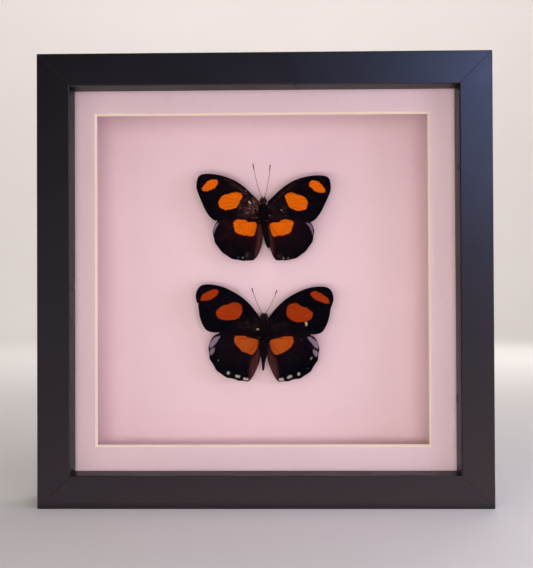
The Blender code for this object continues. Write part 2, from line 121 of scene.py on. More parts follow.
# Each wing: its outline from the shoulder round the tip to the root, the place its veins start
# from, and closed outlines of its markings. A round marking is a place and a radius.
WINGS = {
    ("upper", "forewing"): {
        "outline": both((
            (2.3, 5.2), (6, 9), (10.8, 13.6), (15.5, 16.9), (20.2, 19), (25.2, 20.4), (30.4, 21.1),
            (34.4, 20.9), (36.6, 20), (37.7, 18.1), (38.3, 14.8), (38.1, 12.1), (36.9, 8.7),
            (35.3, 4.9), (33.6, 0.9), (31.4, -2.7), (29.3, -4.9), (27.4, -5.8), (24.5, -5.7),
            (18.8, -4.8), (12, -4.2), (5, -4.6), (0.7, -4.6),
        )),
        "root": (1.5, 0.8),
        "cell": FOREWING_CELL,
        "veins": FOREWING_VEINS,
        "drop": 2.3,
        "spots": (
            (
                (35.2, 12.5), (34.6, 11.3), (33, 11), (31, 11.5), (28.9, 12.4), (27.3, 13.5),
                (26.1, 15.2), (26, 16.7), (26.7, 17.6), (28.1, 18), (29.8, 17.8), (31.4, 17),
                (32.9, 15.8), (34.3, 14.3),
            ),
            (
                (25.5, 4.8), (25.1, 2.7), (24.2, 1.4), (22.4, 0.7), (20.4, 0.4), (18.3, 1),
                (16.4, 1.6), (14.8, 2.5), (14, 4), (13.3, 5.7), (12.5, 7.2), (12.1, 8.4),
                (12.7, 9.4), (14.2, 10.4), (16.2, 10.7), (18.1, 10.1), (20, 9.6), (22, 9),
                (23.7, 8), (24.9, 6.2),
            ),
        ),
        "flecks": {
            LEFT: ((7.8, 4.9, 0.55), (7.3, 4.3, 0.4), (10, 11.1, 0.2), (15.4, 14.9, 0.18)),
            RIGHT: ((10.6, 0.5, 0.3), (3.8, -2.6, 0.36), (11.9, -0.6, 0.22)),
        },
        "worn": (
            ((1, 6), (7.9, 6.2), (12.6, 5.4), (13.6, 1), (14.4, -3.4), (8, -5.4), (1, -5.5)),
            ((5, 9), (9.4, 12), (16, 16.6), (21, 18.8), (21, 16.4), (14, 11.6), (9, 8), (5, 6)),
        ),
        "wear": {LEFT: (1, 0.3), RIGHT: (0.13, 0.12)},
    },
    ("upper", "hindwing"): {
        "outline": {
            LEFT: (
                (0.7, -2.6), (14, -2), (23.4, -3.4), (27.4, -7.2), (28.9, -10.5), (29.2, -12.8),
                (28.8, -15.6), (27.7, -18.9), (26, -21.5), (23.6, -24.2), (20.2, -26.8),
                (16.5, -28.3), (12.3, -28.9), (8.8, -29), (6.4, -28.7), (4.3, -27.2), (2.9, -25),
                (1.6, -22), (0.7, -18.6), (0.4, -14.6), (0.6, -10.5), (0.7, -7.5),
            ),
            RIGHT: (
                (0.7, -2.6), (14, -2), (24, -3.2), (28, -7.2), (29.4, -10.5), (29.6, -12.8),
                (29.2, -15.6), (28.1, -18.9), (26.2, -21.5), (23.8, -24.2), (20.2, -26.8),
                (16.5, -28.2), (12.3, -28.6), (9.4, -28.8), (7.6, -28.2), (6.2, -26.6), (5.2, -24.4),
                (4.2, -21.4), (3.3, -18), (2.6, -14.6), (1.8, -10.5), (0.8, -7.5),
            ),
        },
        "root": (2.6, -6),
        "cell": HINDWING_CELL,
        "veins": HINDWING_VEINS,
        "drop": 1,
        "spots": (
            (
                (17.2, -7.6), (16.9, -10), (16, -12), (14, -13.4), (11.3, -14.1), (8.5, -14.5),
                (6.4, -14.8), (5.4, -14.2), (4.8, -12.5), (4.2, -10.5), (3.8, -8.8), (3.9, -7.5),
                (5, -6.8), (7.1, -6.6), (9.4, -6.3), (10.2, -5.5), (12.4, -5.1), (14.8, -5.2),
                (16.5, -5.8), (17.3, -6.8),
            ),
        ),
        "umber": {
            LEFT: (
                (3.3, -7), (4, -11.4), (4.6, -15), (4.9, -18), (5.3, -21.5), (6, -29.5), (4.4, -28),
                (1, -22.5), (-1, -16), (-1, -8),
            ),
            RIGHT: (
                (4, -8), (5, -12), (6.4, -15.5), (7, -19), (7.1, -22), (6.8, -28), (4.5, -25),
                (2.6, -19), (1, -12), (1, -8),
            ),
        },
        "lilac": (
            (
                (25, -6.8), (26, -8.5), (27.2, -10.4), (28, -12.4), (28.8, -13.6), (29.2, -12),
                (28.6, -9.4), (27.2, -7.2),
            ),
        ),
        "pearls": ((12, -27.1, 0.32), (14.6, -27, 0.22)),
        "flecks": both(()),
        "smudge": {
            LEFT: ((9.1, -25.8, 1.6), (8, -26.4, 1.2)),
            RIGHT: ((10.2, -24.6, 1.1), (9.4, -26.2, 1)),
        },
        "worn": (((15.5, -2), (26, -6), (27, -16), (22, -23), (14, -27.5), (20, -16)),),
        "wear": {LEFT: (0.06,), RIGHT: (0.02,)},
    },
    ("lower", "forewing"): {
        "outline": both((
            (2, 4.9), (5.1, 9.4), (9.2, 14.2), (13.9, 18.1), (18.8, 21), (23.7, 23.2), (28.8, 24.4),
            (33.4, 24.6), (36.4, 23.7), (38.2, 21.4), (39.1, 18), (38.6, 14.9), (37.6, 11.9),
            (37.2, 8), (36.2, 3.9), (34.4, 0), (32.6, -1.9), (30, -2.8), (25.5, -3), (19.5, -2.8),
            (12, -2.2), (5, -2.6), (0.7, -2.8),
        )),
        "root": (1.5, 1.2),
        "cell": FOREWING_CELL,
        "veins": FOREWING_VEINS,
        "drop": 2.7,
        "spots": (
            (
                (36.7, 15.7), (35.6, 15.1), (33.5, 15.3), (31.1, 16), (28.5, 17.2), (26.8, 18.5),
                (25.8, 20.2), (26.8, 21.4), (28.4, 21.9), (30.3, 21.3), (32.2, 20.6), (34.1, 19.5),
                (35.8, 17.9),
            ),
            (
                (27.4, 9.4), (27.3, 7.1), (26.1, 5.4), (23.8, 4.5), (21, 4.1), (18.1, 4.2),
                (15.7, 4.9), (13.9, 6.1), (12.8, 7.9), (12.4, 10.2), (12.6, 12), (13.7, 13.2),
                (15.6, 14), (17.6, 14.3), (19.5, 13.7), (20.7, 12.9), (23, 12.4), (25.2, 11.4),
                (26.9, 10.3),
            ),
        ),
        "flecks": {
            LEFT: ((38, 13.4, 0.4), (3.9, -1.1, 0.34), (3.2, -1.2, 0.34)),
            RIGHT: ((24.1, 3.4, 0.5), (24.1, 2.4, 0.36)),
        },
        "worn": (((1, 5), (8, 4.4), (12, 3.4), (14, 0.6), (13, -1.2), (8, -3), (1, -3)),),
        "wear": {LEFT: (0.12,), RIGHT: (0.08,)},
    },
    ("lower", "hindwing"): {
        "outline": both((
            (0.7, -1.8), (14, -1), (23.4, -2.4), (26.4, -3.6), (29.1, -5.1), (31, -7.9),
            (31.9, -10.6), (32.2, -13.6), (31.8, -16.6), (30.8, -19.7), (29.2, -22.5), (27.2, -25.1),
            (25.2, -27.1), (22.6, -28.6), (19.4, -29.7), (16, -30.6), (12.8, -31.3), (10.2, -31.6),
            (8.8, -31), (7.4, -29.6), (5.8, -27), (4.3, -23.9), (3, -20.5), (2.2, -17), (1.2, -12),
            (0.7, -8.4),
        )),
        "root": (2.6, -6),
        "cell": HINDWING_CELL,
        "veins": HINDWING_VEINS,
        "drop": 1.5,
        "spots": (
            (
                (17.1, -6.4), (17, -8.4), (15.9, -10.4), (14.6, -12.2), (12.4, -13.8), (9.8, -14.9),
                (7.6, -15.9), (6, -15.2), (4.9, -13.4), (4, -11.4), (3.4, -9.4), (3.3, -8),
                (4.4, -7.1), (7, -6.5), (9.5, -6), (10.5, -5.3), (12.8, -5), (15.4, -5),
                (16.8, -5.3),
            ),
        ),
        "umber": both((
            (3.2, -8), (3.7, -11.5), (5.2, -14.6), (7, -16.6), (8.2, -19.5), (9, -23.5),
            (9.6, -27.5), (9.9, -32), (6.6, -30.5), (2.6, -23.5), (0.3, -15), (0.6, -9),
        )),
        "lilac": (
            (
                (25.2, -4.6), (27.5, -5.4), (29.8, -7), (31.2, -9.1), (31.6, -11.2), (31, -12),
                (29.3, -10.9), (27.6, -9), (26.2, -7.2), (25.1, -5.9),
            ),
            (
                (28.5, -11.9), (29.8, -12.2), (31, -13), (31.4, -14.2), (31, -15.5), (30.2, -16.1),
                (29.3, -15.2), (28.6, -13.6),
            ),
        ),
        "pearls": (
            (20.6, -26.3, 0.68), (14.8, -28.3, 0.82), (15.9, -28, 0.82), (10, -29.9, 0.76),
            (11.2, -29.7, 0.76),
        ),
        "flecks": {
            LEFT: ((26.2, -19, 0.36),),
            RIGHT: ((27.5, -17.5, 0.36), (27.9, -16.9, 0.3), (26, -22.8, 0.26), (21.6, -6.9, 0.34)),
        },
        "worn": (((16, -4), (24, -5), (27, -12), (22, -20), (14, -22), (15, -12)),),
        "wear": {LEFT: (0.025,), RIGHT: (0.015,)},
    },
}

# Each body: its ends above and below the middle of the thorax, how far the tip of its abdomen
# bends to the right, and its antenna tips.
BODIES = {
    "upper": {
        "top": 7, "tip": -22, "bend": 3.2, "tips": {LEFT: (-5.8, 26.8), RIGHT: (4.2, 26.2)},
        "palps": 1.7,
    },
    "lower": {
        "top": 7.8, "tip": -25.2, "bend": -0.6, "tips": {LEFT: (-6.9, 22.4), RIGHT: (7.5, 21.2)},
        "palps": 0.9,
    },
}

# A body's radius as a share of the thorax's, at each share of its length from the head.
THORAX_PROFILE = ((0.17, 0.9), (0.22, 1), (0.32, 1), (0.4, 0.86))
BODY_PROFILES = {
    "upper": (
        (0, 0.05), (0.02, 0.42), (0.05, 0.64), (0.085, 0.68), (0.11, 0.6), (0.135, 0.72),
    ) + THORAX_PROFILE + (
        (0.455, 0.58), (0.53, 0.7), (0.66, 0.76), (0.79, 0.7), (0.9, 0.52), (0.96, 0.32), (1, 0.04),
    ),
    "lower": (
        (0, 0.05), (0.02, 0.46), (0.05, 0.74), (0.085, 0.82), (0.11, 0.78), (0.135, 0.82),
    ) + THORAX_PROFILE + (
        (0.455, 0.8), (0.52, 1), (0.6, 1.02), (0.68, 0.9), (0.76, 0.66), (0.82, 0.46), (0.87, 0.34),
        (0.94, 0.3), (0.98, 0.2), (1, 0.04),
    ),
}
WAIST = 0.455
THORAX_RADIUS = 2.5
ABDOMEN_RINGS = 8
RING_PINCH = 0.07  # share by which a body narrows between two rings
ABDOMEN_DROOP = 0.9 * MM

# Lights: place, what each is aimed at, its width and height, its power, its colour, and whether
# it lights matt surfaces and shows in glossy ones.
LIGHTS = {
    "overhead": ((0, -0.7, 1.3), (0, -0.5, 0), (0.9, 0.7), 3.9, "#fffaf6", (True, True)),
    "front": ((0, -1.7, 0.45), (0, 0, 0.12), (1.6, 0.9), 7.8, "#fffaf6", (True, False)),
    "low_left": ((-0.75, -0.45, 0.1), (0, 0, 0.12), (0.35, 0.2), 1.3, "#fffaf6", (True, False)),
    "low_front": ((0, -0.36, 0.02), (0, 0, 0.14), (0.5, 0.1), 1, "#fffaf6", (True, False)),
    "right": ((0.5, -0.2, 0.19), (0, 0, 0.12), (0.25, 0.25), 1.7, "#dcdcff", (True, False)),
    "window": ((0.695, -1.5, 0.725), (0.695, 0, 0.725), (0.61, 0.75), 10, "#a0b8ff", (False, True)),
    "rear": ((0.5, 1.2, 1), (0, 0, 0.12), (0.9, 0.9), 6, "#ffffff", (True, True)),
    "backdrop": ((0, 0.9, 1.7), (0, 2.6, 0.7), (1.6, 0.6), 30, "#fffaf6", (True, False)),
}
AMBIENT = 0.11

# What glossy surfaces reflect of the room, at each level of the direction they look in.
ROOM = ((-0.6, "#d2cfd1"), (-0.3, "#ffdadd"), (-0.15, "#ad8d97"), (0.1, "#8a8397"), (0.36, "#15131e"))
ROOM_STRENGTH = 1.45
ROOM_LEAN = -0.35  # the room is brighter low down and towards the right


# --------------------------------------------------------------------------- settings


def colour_property(name, code, description):
    return FloatVectorProperty(
        name=name, description=description, default=linear(code), size=3, subtype="COLOR",
        min=0, max=1,
    )


def length_property(name, millimetres, description):
    return FloatProperty(
        name=name, description=description, default=millimetres * MM, min=0, subtype="DISTANCE",
        unit="LENGTH", precision=5,
    )


class FrameSettings(bpy.types.PropertyGroup):
    """Finishes of the frame and of what is flat in it."""

    lacquer: colour_property("Lacquer", "#0e0d10", "Colour of the rails")
    mat: colour_property("Mat paper", "#dcb9c3", "Colour of the mat's face")
    core: colour_property("Mat core", "#ecd0c2", "Colour of the mat's cut edge")
    liner: colour_property("Liner paper", "#e9c2cd", "Colour of the paper that lines the box")
    arris: length_property("Arris", 0.22, "Width of the eased edges of the rails")


class InsectSettings(bpy.types.PropertyGroup):
    """Sizes and colours of the two specimens."""

    bright: colour_property("Fresh spots", "#da5e04", "Colour of the upper insect's spots")
    rust: colour_property("Faded spots", "#9a3009", "Colour of the lower insect's spots")
    patch: colour_property("Faded patches", "#aa4714", "Colour of the lower insect's patches")
    wing_thick: length_property("Wing thickness", 0.13, "Thickness of a wing")
    vein_rise: length_property("Vein height", 0.09, "How far a vein stands above the wing")
    hair_long: length_property("Hair length", 1.5, "Length of the longest body hairs")
    hairs: IntProperty(name="Hairs", description="Hairs on each body", default=2600, min=0)


# --------------------------------------------------------------------------- small helpers


def add(tree, kind, inputs=(), **settings):
    """Add one node with its settings, and its inputs by name or in their own order.

    An input is a value, a node's output, or a node, whose main output is then meant.
    """
    made = tree.nodes.new(f"ShaderNode{kind}")
    for name, value in settings.items():
        setattr(made, name, value)
    given = inputs.items() if isinstance(inputs, dict) else enumerate(inputs)
    for name, value in given:
        if isinstance(value, bpy.types.Node):
            value = value.outputs[MIX_RESULT if value.type == "MIX" else 0]
        if isinstance(value, bpy.types.NodeSocket):
            tree.links.new(value, made.inputs[name])
        else:
            made.inputs[name].default_value = value
    return made


def new_material(name):
    """An empty material and its tree."""
    made = bpy.data.materials.new(name)
    made.use_nodes = True
    made.node_tree.nodes.clear()
    return made, made.node_tree


def shade(made, inputs):
    """Finish a material with one Principled shader."""
    shader = add(made.node_tree, "BsdfPrincipled", inputs)
    add(made.node_tree, "OutputMaterial", {"Surface": shader})
    return made


def opaque(colour):
    return (*colour, 1)


def dress(thing, material):
    thing.data.materials.clear()
    thing.data.materials.append(material)


def cad(node):
    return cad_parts[node]


def finish_cad(node, material, ease=None):
    """Give a CAD node its finish, and ease its edges by a width."""
    thing = cad(node)
    for slot in thing.material_slots:
        slot.material = material
    if not thing.material_slots:
        thing.data.materials.append(material)
    if ease:
        weld = thing.modifiers.new("weld", "WELD")
        weld.merge_threshold = 0.01 * MM
        bevel = thing.modifiers.new("ease", "BEVEL")
        bevel.width = ease
        bevel.segments = 2
        bevel.limit_method = "ANGLE"
        bevel.angle_limit = math.radians(40)
    return thing


def deselect_all():
    if bpy.context.object and bpy.context.object.mode != "OBJECT":
        bpy.ops.object.mode_set(mode="OBJECT")
    bpy.ops.object.select_all(action="DESELECT")


def make_active(thing):
    deselect_all()
    thing.select_set(True)
    bpy.context.view_layer.objects.active = thing


def named(name):
    """The new primitive, under its own name."""
    thing = bpy.context.object
    thing.name = name
    thing.data.name = name
    return thing


def apply_modifier(thing, kind, **settings):
    make_active(thing)
    made = thing.modifiers.new(kind.lower(), kind)
    for name, value in settings.items():
        setattr(made, name, value)
    bpy.ops.object.modifier_apply(modifier=made.name)


def tidy_mesh(thing, merge=0.001 * MM):
    """Merge doubles and turn every face outwards."""
    make_active(thing)
    bpy.ops.object.mode_set(mode="EDIT")
    bpy.ops.mesh.select_all(action="SELECT")
    bpy.ops.mesh.remove_doubles(threshold=merge)
    bpy.ops.mesh.normals_make_consistent(inside=False)
    bpy.ops.object.mode_set(mode="OBJECT")


def smooth(thing, degrees=None):
    make_active(thing)
    if degrees is None:
        bpy.ops.object.shade_smooth()
    else:
        bpy.ops.object.shade_smooth_by_angle(angle=math.radians(degrees))


def keep(thing, material, slot, *replaced):
    """Hand a finished piece over to the frame."""
    dress(thing, material)
    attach(thing, BODY)
    if replaced:
        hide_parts(*replaced)
    deselect_all()


def spun(name, corners, centre, axis, steps):
    """A turned form: one corner drawn out through the others, then spun about an axis."""
    deselect_all()
    bpy.ops.mesh.primitive_plane_add(size=MM, location=corners[0])
    thing = named(name)
    bpy.ops.object.transform_apply(location=True)
    bpy.ops.object.mode_set(mode="EDIT")
    bpy.ops.mesh.select_all(action="SELECT")
    bpy.ops.mesh.merge(type="CENTER")
    for start, end in zip(corners, corners[1:]):
        bpy.ops.mesh.extrude_region_move(TRANSFORM_OT_translate={"value": end - start})
    bpy.ops.mesh.select_all(action="SELECT")
    bpy.ops.mesh.spin(steps=steps, angle=math.tau, center=centre, axis=axis)
    bpy.ops.object.mode_set(mode="OBJECT")
    tidy_mesh(thing)
    return thing


def vertices_of(thing):
    found = np.empty(len(thing.data.vertices) * 3)
    thing.data.vertices.foreach_get("co", found)
    return found.reshape(-1, 3)


def set_vertices(thing, places):
    thing.data.vertices.foreach_set("co", np.ascontiguousarray(places, dtype=float).ravel())
    thing.data.update()


def middle_of(node):
    low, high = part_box(node)
    return (Vector(low) + Vector(high)) / 2


# --------------------------------------------------------------------------- frame materials


def satin_lacquer(settings):
    """Black lacquer sprayed on a wooden moulding: satin, with a faint orange peel."""
    made, tree = new_material("satin_lacquer_on_wood")
    place = add(tree, "TexCoord").outputs["Object"]
    peel = add(tree, "TexNoise", {"Vector": place, "Scale": 1 / (1.4 * MM), "Detail": 2})
    haze = add(tree, "TexNoise", {"Vector": place, "Scale": 1 / (22 * MM), "Detail": 4})
    dust = add(tree, "TexVoronoi", {"Vector": place, "Scale": 1 / (3.5 * MM)})
    speck = add(tree, "MapRange", (dust, 0.03, 0.07, 1, 0))
    faint = add(tree, "Math", (speck, 0.05), operation="MULTIPLY")
    colour = add(
        tree, "Mix",
        {MIX_FACTOR: faint, MIX_A: opaque(settings.lacquer), MIX_B: opaque(linear("#6c6668"))},
        data_type="RGBA",
    )
    rough = add(tree, "MapRange", (haze, 0.3, 0.7, 0.27, 0.33))
    bump = add(tree, "Bump", {"Height": peel, "Strength": 0.12, "Distance": 0.03 * MM})
    return shade(made, {
        "Base Color": colour, "Roughness": rough, "Normal": bump, "Specular IOR Level": 0.5,
    })


def float_glass():
    """Picture glass with a low-reflection coating: flat, and black stays black behind it."""
    made, tree = new_material("low_reflection_picture_glass")
    coated = add(
        tree, "BsdfPrincipled",
        {
            "Base Color": opaque(linear("#fbfefc")), "Roughness": 0, "IOR": 1.5,
            "Transmission Weight": 1, "Specular Tint": opaque(linear("#1c1c1c")),
        },
    )
    path = add(tree, "LightPath").outputs
    lit = add(tree, "Math", (path["Is Shadow Ray"], path["Is Diffuse Ray"]), operation="MAXIMUM")
    clear = add(tree, "BsdfTransparent", {"Color": opaque(linear("#f6f9f7"))})
    either = add(tree, "MixShader", (lit, coated, clear))
    add(tree, "OutputMaterial", {"Surface": either})
    return made


def paper(name, colour, core=None):
    """Matt paper with short fibres. A mat's cut edge shows its paler core."""
    made, tree = new_material(name)
    coords = add(tree, "TexCoord").outputs
    place = coords["Object"]
    fibre = add(tree, "TexNoise", {"Vector": place, "Scale": 1 / (0.7 * MM), "Detail": 5})
    mottle = add(tree, "TexNoise", {"Vector": place, "Scale": 1 / (45 * MM), "Detail": 3})
    dull = opaque([part * 0.965 for part in colour])
    pale = opaque([min(1, part * 1.035) for part in colour])
    tint = add(tree, "Mix", {MIX_FACTOR: mottle, MIX_A: dull, MIX_B: pale}, data_type="RGBA")
    grainy = add(tree, "MapRange", (fibre, 0.25, 0.75, 0.96, 1.03))
    shown = add(tree, "VectorMath", (tint, grainy), operation="MULTIPLY")
    if core:
        across = add(tree, "SeparateXYZ", {"Vector": coords["Normal"]}).outputs["Y"]
        is_face = add(tree, "Math", (across, -0.9), operation="LESS_THAN")
        shown = add(
            tree, "Mix", {MIX_FACTOR: is_face, MIX_A: opaque(core), MIX_B: shown},
            data_type="RGBA",
        )
    bump = add(tree, "Bump", {"Height": fibre, "Strength": 0.08, "Distance": 0.03 * MM})
    return shade(made, {
        "Base Color": shown, "Roughness": 0.92, "Normal": bump, "Specular IOR Level": 0.2,
    })


def plated_metal(name, colour, rough):
    """Plated sheet metal, rolled: bright, with a fine lengthwise grain and dull patches."""
    made, tree = new_material(name)
    place = add(tree, "TexCoord").outputs["Object"]
    stretch = add(tree, "Mapping", {"Vector": place, "Scale": (200, 4000, 4000)})
    grain = add(tree, "TexNoise", {"Vector": stretch, "Scale": 1, "Detail": 3})
    patches = add(tree, "TexNoise", {"Vector": place, "Scale": 1 / (3 * MM), "Detail": 4})
    worked = add(tree, "Math", (grain, patches), operation="ADD")
    roughness = add(tree, "MapRange", (worked, 0.7, 1.3, rough - 0.08, rough + 0.14))
    bump = add(tree, "Bump", {"Height": grain, "Strength": 0.2, "Distance": 0.02 * MM})
    return shade(made, {
        "Base Color": opaque(colour), "Metallic": 1, "Roughness": roughness, "Normal": bump,
    })


def hardboard():
    """Pressed wood fibre: brown, with short pale and dark fibres lying every way."""
    made, tree = new_material("pressed_hardboard")
    place = add(tree, "TexCoord").outputs["Object"]
    fleck = add(
        tree, "TexNoise", {"Vector": place, "Scale": 1 / (1.1 * MM), "Detail": 6, "Distortion": 2}
    )
    cloud = add(tree, "TexNoise", {"Vector": place, "Scale": 1 / (30 * MM), "Detail": 4})
    fibres = add(
        tree, "Mix",
        {MIX_FACTOR: fleck, MIX_A: opaque(linear("#4a3020")), MIX_B: opaque(linear("#a9794f"))},
        data_type="RGBA",
    )
    deeper = add(tree, "MapRange", (cloud, 0.3, 0.7, 0.85, 1.1))
    shown = add(tree, "VectorMath", (fibres, deeper), operation="MULTIPLY")
    bump = add(tree, "Bump", {"Height": fleck, "Strength": 0.35, "Distance": 0.08 * MM})
    return shade(made, {"Base Color": shown, "Roughness": 0.7, "Normal": bump})


def closed_cell_foam():
    """Closed-cell foam: white, with small shallow cells."""
    made, tree = new_material("closed_cell_foam")
    place = add(tree, "TexCoord").outputs["Object"]
    cells = add(tree, "TexVoronoi", {"Vector": place, "Scale": 1 / (0.5 * MM)})
    bump = add(tree, "Bump", {"Height": cells, "Strength": 0.6, "Distance": 0.1 * MM})
    white = opaque(linear("#e9e4df"))
    return shade(made, {"Base Color": white, "Roughness": 0.9, "Normal": bump})


# --------------------------------------------------------------------------- insect materials

# What is made of a wing's noises and layers: the one that is read, the range it is read over,
# the range that becomes, and how it goes from one end to the other.
READINGS = {
    "torn": ("fine", 0.2, 0.8, -0.4, 0.4, "LINEAR"),
    "streaky": ("streaks", 0.35, 0.65, 0.2, 1, "LINEAR"),
    "cloudy": ("cloud", 0.3, 0.7, 0.5, 1, "LINEAR"),
    "bare": ("cloud", 0.42, 0.62, 0.15, 1, "SMOOTHSTEP"),
    "thread": ("vein", 0.1, 0.3, 1, 0, "SMOOTHSTEP"),
    "faint_thread": ("vein", 0.1, 0.3, 0.3, 0, "SMOOTHSTEP"),
    "inside": ("rim", 0.08, 0.4, 0.45, 1, "SMOOTHSTEP"),
    "edging": ("rim", 0.1, 0.5, 0.6, 0, "SMOOTHSTEP"),
    "broken": ("fine", 0.42, 0.58, 0, 1, "LINEAR"),
}
PRODUCTS = {
    "worn_here": ("worn", "bare"), "chafed": ("worn_here", "broken"),
    "worn_thread": ("chafed", "thread"), "maroon_here": ("maroon", "cloudy"),
}
EDGE_WANDER = 1.4  # millimetres in and out, of a marking's ragged edge
# Markings with ragged edges: the depths over which each comes in, how strong it gets, and what
# breaks it up.
RAGGED = {
    "umber": (-0.4, 2.6, 1, "streaky"), "spot": (-0.14, 0.16, 1, None),
    "smudge": (-0.9, 0.9, 0.75, "bare"), "lilac": (-0.3, 0.6, 0.92, "inside"),
    "pearl": (-0.45, 0.4, 0.95, "inside"), "fleck": (-0.25, 0.2, 0.95, None),
}
# Colours in the order they lie over the ground. A colour that isn't given is the insect's own.
SCALE_COLOURS = (
    ("maroon_here", None), ("edging", "#1f0f10"), ("umber", "#5f2f30"), ("worn_here", "#301417"),
    ("chafed", "#5e3b38"), ("spot", None), ("faint_thread", "#1c0503"),
    ("worn_thread", "#8c6660"), ("smudge", "#4a3432"), ("lilac", "#886c82"),
    ("pearl", "#b8a49c"), ("fleck", "#c9a184"),
)


def wing_scales(name, spot, patch, ground, maroon):
    """Powdery overlapping scales: matt, near black between soft-edged spots."""
    made, tree = new_material(name)
    place = add(tree, "TexCoord").outputs["Object"]
    # Real scales are 0.1 mm wide. They are drawn three times as coarse, so that they show.
    scales = add(tree, "TexVoronoi", {"Vector": place, "Scale": 1 / (0.3 * MM)})
    grid = add(tree, "UVMap", uv_map="UVMap")
    along = add(tree, "Mapping", {"Vector": grid, "Scale": (90, 2.2, 1)})
    parts = {
        "fine": add(tree, "TexNoise", {"Vector": place, "Scale": 1 / (0.8 * MM), "Detail": 4}),
        "cloud": add(tree, "TexNoise", {"Vector": place, "Scale": 1 / (4 * MM), "Detail": 4}),
        "streaks": add(tree, "TexNoise", {"Vector": along, "Scale": 1, "Detail": 3}),
    }
    for layer in LAYERS:
        parts[layer] = add(tree, "Attribute", attribute_name=layer).outputs["Fac"]
    for part, (source, *limits, course) in READINGS.items():
        parts[part] = add(
            tree, "MapRange", (parts[source], *limits), interpolation_type=course
        )
    for part, (first, second) in PRODUCTS.items():
        parts[part] = add(tree, "Math", (parts[first], parts[second]), operation="MULTIPLY")
    wander = add(
        tree, "Math", (parts["cloud"], EDGE_WANDER, parts["torn"]), operation="MULTIPLY_ADD"
    )
    for part, (low, high, strength, broken_by) in RAGGED.items():
        depth = add(tree, "Math", (parts[part], wander), operation="ADD")
        depth = add(tree, "Math", (depth, EDGE_WANDER / 2), operation="SUBTRACT")
        parts[part] = add(
            tree, "MapRange", (depth, low, high, 0, strength), interpolation_type="SMOOTHSTEP"
        )
        if broken_by:
            parts[part] = add(
                tree, "Math", (parts[part], parts[broken_by]), operation="MULTIPLY"
            )
    spots = add(
        tree, "Mix", {MIX_FACTOR: parts["patch"], MIX_A: opaque(spot), MIX_B: opaque(patch)},
        data_type="RGBA",
    )
    own = {"maroon_here": opaque(maroon), "spot": spots}
    shown = opaque(ground)
    for part, code in SCALE_COLOURS:
        over = own[part] if code is None else opaque(linear(code))
        shown = add(
            tree, "Mix", {MIX_FACTOR: parts[part], MIX_A: shown, MIX_B: over}, data_type="RGBA"
        )
    powder = add(tree, "MapRange", (scales.outputs["Color"], 0, 1, 0.84, 1.1))
    shown = add(tree, "VectorMath", (shown, powder), operation="MULTIPLY")
    bump = add(tree, "Bump", {"Height": scales, "Strength": 0.35, "Distance": 0.05 * MM})
    return shade(made, {
        "Base Color": shown, "Roughness": 0.85, "Normal": bump, "Specular IOR Level": 0.04,
    })


def chitin(name, dark, light, rough, gleam):
    """Hard insect cuticle: dark, smooth and slightly glossy."""
    made, tree = new_material(name)
    place = add(tree, "TexCoord").outputs["Object"]
    pores = add(tree, "TexNoise", {"Vector": place, "Scale": 1 / (0.25 * MM), "Detail": 3})
    colour = add(
        tree, "Mix", {MIX_FACTOR: pores, MIX_A: opaque(dark), MIX_B: opaque(light)},
        data_type="RGBA",
    )
    sheen = add(tree, "MapRange", (pores, 0.3, 0.7, rough - 0.1, rough + 0.1))
    bump = add(tree, "Bump", {"Height": pores, "Strength": 0.3, "Distance": 0.03 * MM})
    return shade(made, {
        "Base Color": colour, "Roughness": sheen, "Normal": bump, "Specular IOR Level": gleam,
    })


def fur(name, dark, light, warm):
    """Fine dull hair: near black, and browner where its own "warm" layer says so."""
    made, tree = new_material(name)
    place = add(tree, "TexCoord").outputs["Object"]
    locks = add(tree, "TexNoise", {"Vector": place, "Scale": 1 / (0.9 * MM), "Detail": 3})
    black = add(
        tree, "Mix", {MIX_FACTOR: locks, MIX_A: opaque(dark), MIX_B: opaque(light)},
        data_type="RGBA",
    )
    share = add(tree, "Attribute", attribute_name="warm").outputs["Fac"]
    shown = add(
        tree, "Mix", {MIX_FACTOR: share, MIX_A: black, MIX_B: opaque(warm)}, data_type="RGBA"
    )
    return shade(made, {"Base Color": shown, "Roughness": 0.8, "Specular IOR Level": 0.04})


# --------------------------------------------------------------------------- the frame


class FRAMED_OT_rails(bpy.types.Operator):
    """Make the four lacquered rails, closed up at their mitres, with eased edges"""

    bl_idname = "framed_butterflies.make_rails"
    bl_label = "Rails"

    MITRE_GAP = 0.3 * MM
    JOINT_LINE = 0.03 * MM

    def execute(self, context):
        settings = context.scene.framed_frame
        lacquer = satin_lacquer(settings)
        for side, turn in (("bottom", 0), ("left", 1), ("top", 2), ("right", 3)):
            source = cad(f"rail_{side}")
            rail = source.copy()
            rail.data = source.data.copy()
            rail.name = f"lacquered_rail_{side}"
            context.scene.collection.objects.link(rail)
            tidy_mesh(rail)
            self.close_mitres(rail, turn)
            apply_modifier(
                rail, "BEVEL", width=settings.arris, segments=2, limit_method="ANGLE",
                angle_limit=math.radians(40),
            )
            smooth(rail)
            apply_modifier(rail, "WEIGHTED_NORMAL", weight=100)
            keep(rail, lacquer, "black_lacquer", f"rail_{side}")
        return {"FINISHED"}

    def close_mitres(self, rail, turn):
        """Draw the two mitred ends along the rail until a hairline is left between neighbours."""
        places = vertices_of(rail)
        low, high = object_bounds()
        along = 0 if turn % 2 == 0 else 2
        middle = (low[along] + high[along]) / 2
        move = (self.MITRE_GAP - self.JOINT_LINE) / 2
        ends = self.end_corners(rail)
        places[ends, along] += np.sign(places[ends, along] - middle) * move
        set_vertices(rail, places)

    def end_corners(self, rail):
        """Corners of the faces that slant at 45 degrees across the frame."""
        found = set()
        for face in rail.data.polygons:
            if abs(face.normal.y) < 0.1 and 0.6 < abs(face.normal.x) < 0.8:
                found.update(face.vertices)
        return sorted(found)


